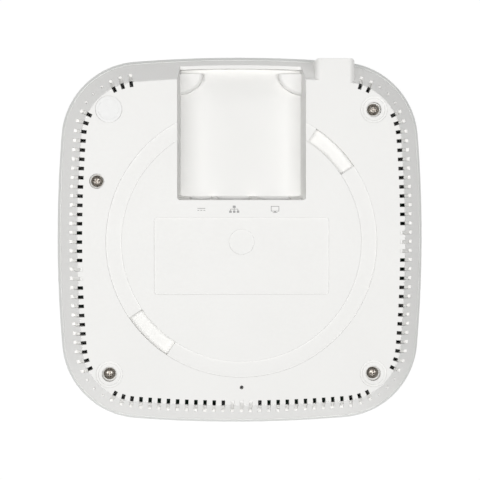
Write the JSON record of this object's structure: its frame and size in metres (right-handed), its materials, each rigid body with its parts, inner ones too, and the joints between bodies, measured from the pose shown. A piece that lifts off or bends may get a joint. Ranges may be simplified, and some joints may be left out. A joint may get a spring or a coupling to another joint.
{
  "type": "ceiling access point",
  "caption": "Square rounded wireless access point for a ceiling, with a cable pocket, ports, vents and a bayonet ring in its back plate, and boards and antennas inside.",
  "frame": {"origin": "middle of the flat front face, which it lies on", "axes": "+Z out of the back plate towards the ceiling side, +Y towards the open end of the cable pocket"},
  "size_m": [0.19, 0.19, 0.038],
  "materials": {
    "housing_plastic": "fine matte texture",
    "cover_plastic": "fine matte texture",
    "seal_film": "satin film",
    "nickel_steel": "nickel plated",
    "lock_steel": "stamped",
    "circuit_board": "solder mask",
    "aluminium_sheet": "pressed sheet",
    "brass": "turned",
    "jack_plastic": "moulded",
    "gold_contact": "gold plated",
    "tinned_steel": "tinned sheet",
    "chip_plastic": "moulded package",
    "thermal_rubber": "soft silicone",
    "ferrite": "sintered, taped winding",
    "capacitor_can": "can",
    "button_plastic": "moulded",
    "led_package": "moulded",
    "clear_plastic": "polished",
    "coax_jacket": "extruded"
  },
  "bodies": {
    "case": {"back_housing": "housing_plastic", "front_cover": "cover_plastic", "case_screws": "nickel_steel", "screw_seal": "seal_film", "lock_plate": "lock_steel", "main_board": "circuit_board", "heat_spreader": "aluminium_sheet", "board_spacers": "brass", "board_screws": "nickel_steel", "lan_jack": "jack_plastic", "lan_contacts": "gold_contact", "console_jack": "jack_plastic", "console_contacts": "gold_contact", "dc_jack": "jack_plastic", "dc_pin": "tinned_steel", "reset_switch": "jack_plastic", "processor": "chip_plastic", "memory_chips": "chip_plastic", "low_band_radio": "chip_plastic", "high_band_radio": "chip_plastic", "processor_shield": "tinned_steel", "low_band_shield": "tinned_steel", "high_band_shield": "tinned_steel", "thermal_pads": "thermal_rubber", "lan_transformer": "chip_plastic", "console_driver": "chip_plastic", "flash_chip": "chip_plastic", "power_inductors": "ferrite", "power_transformer": "ferrite", "bulk_capacitors": "capacitor_can", "status_led": "led_package", "light_pipe": "clear_plastic", "coax_plugs": "brass", "coax_sockets": "brass", "antenna_right": "circuit_board", "antenna_left": "circuit_board", "antenna_low_left": "circuit_board", "antenna_low_right": "circuit_board", "coax_lead_right": "coax_jacket", "coax_lead_left": "coax_jacket", "coax_lead_low_left": "coax_jacket", "coax_lead_low_right": "coax_jacket"},
    "reset_button": {"reset_button": "button_plastic"}
  },
  "joints": [
    {"name": "reset_press", "type": "slide", "parent": "case", "child": "reset_button", "axis": [0, 0, -1], "range_m": [0, 0.0003], "stiffness_N_per_m": 6000, "springref_m": -0.00005}
  ]
}
